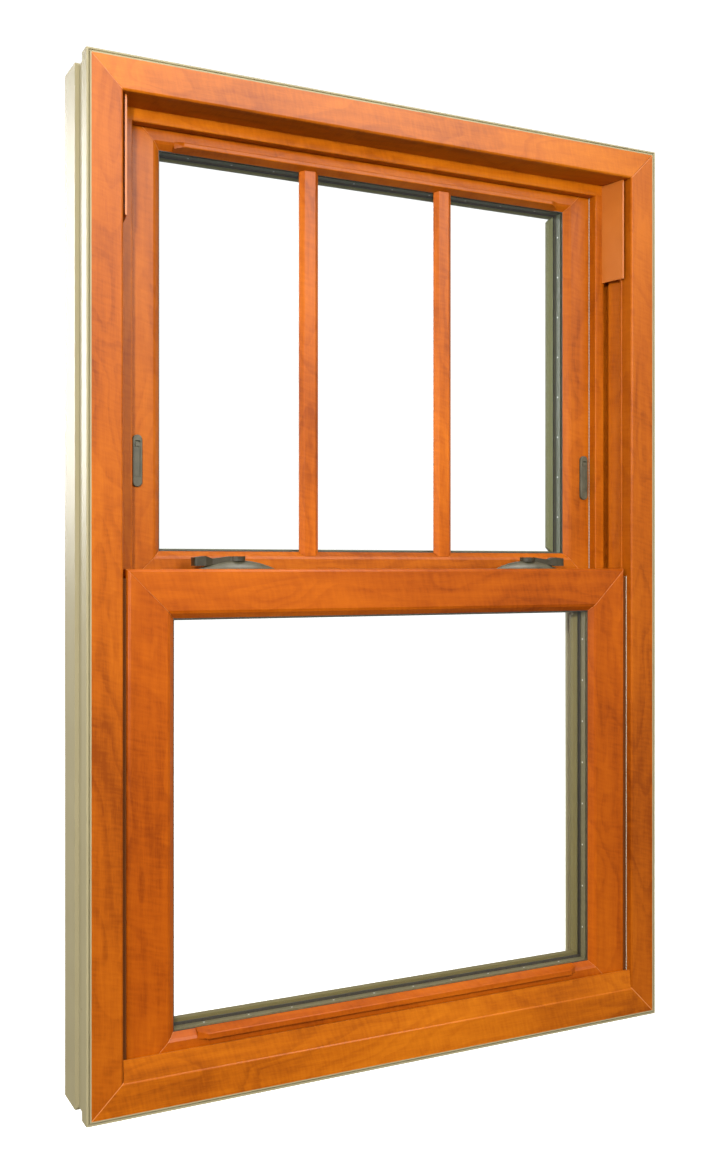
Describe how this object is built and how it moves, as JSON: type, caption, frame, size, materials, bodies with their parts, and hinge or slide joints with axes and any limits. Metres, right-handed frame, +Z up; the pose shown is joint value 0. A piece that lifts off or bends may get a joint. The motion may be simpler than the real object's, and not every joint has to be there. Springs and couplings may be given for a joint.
{
  "type": "double hung window",
  "caption": "Double hung vinyl window with a mitred wood-grain room face, a barred upper sash over a plain lower sash, insulated glass, sash locks and vent latches.",
  "frame": {"origin": "middle of the sill's underside, halfway between the room face and the outdoor face", "axes": "+X to the right seen from the room, +Y out of doors, +Z up"},
  "size_m": [0.6096, 0.0826, 0.9144],
  "materials": {
    "frame_vinyl": "wood-grain laminate over almond vinyl",
    "sash_vinyl": "wood-grain laminate over almond vinyl",
    "pane": "clear float glass",
    "spacer": "dull bronze",
    "bar_laminate": "wood-grain laminate",
    "cover_plastic": "satin moulded",
    "bronze_hardware": "satin dark bronze",
    "pile": "woven pile"
  },
  "bodies": {
    "root": {"frame_head": "frame_vinyl", "frame_sill": "frame_vinyl", "frame_left_jamb": "frame_vinyl", "frame_right_jamb": "frame_vinyl", "upper_sash_top_rail": "sash_vinyl", "upper_sash_bottom_rail": "sash_vinyl", "upper_sash_left_stile": "sash_vinyl", "upper_sash_right_stile": "sash_vinyl", "lower_sash_top_rail": "sash_vinyl", "lower_sash_bottom_rail": "sash_vinyl", "lower_sash_left_stile": "sash_vinyl", "lower_sash_right_stile": "sash_vinyl", "upper_inner_glass": "pane", "upper_outer_glass": "pane", "lower_inner_glass": "pane", "lower_outer_glass": "pane", "upper_glass_spacer": "spacer", "lower_glass_spacer": "spacer", "upper_left_bar": "bar_laminate", "upper_right_bar": "bar_laminate", "left_jamb_cover": "cover_plastic", "right_jamb_cover": "cover_plastic", "left_vent_latch_plate": "bronze_hardware", "left_vent_latch_slider": "bronze_hardware", "left_lock_base": "bronze_hardware", "left_lock_lever": "bronze_hardware", "left_lock_keeper": "bronze_hardware", "right_vent_latch_plate": "bronze_hardware", "right_vent_latch_slider": "bronze_hardware", "right_lock_base": "bronze_hardware", "right_lock_lever": "bronze_hardware", "right_lock_keeper": "bronze_hardware", "upper_sash_pile": "pile", "lower_sash_pile": "pile"}
  },
  "joints": []
}
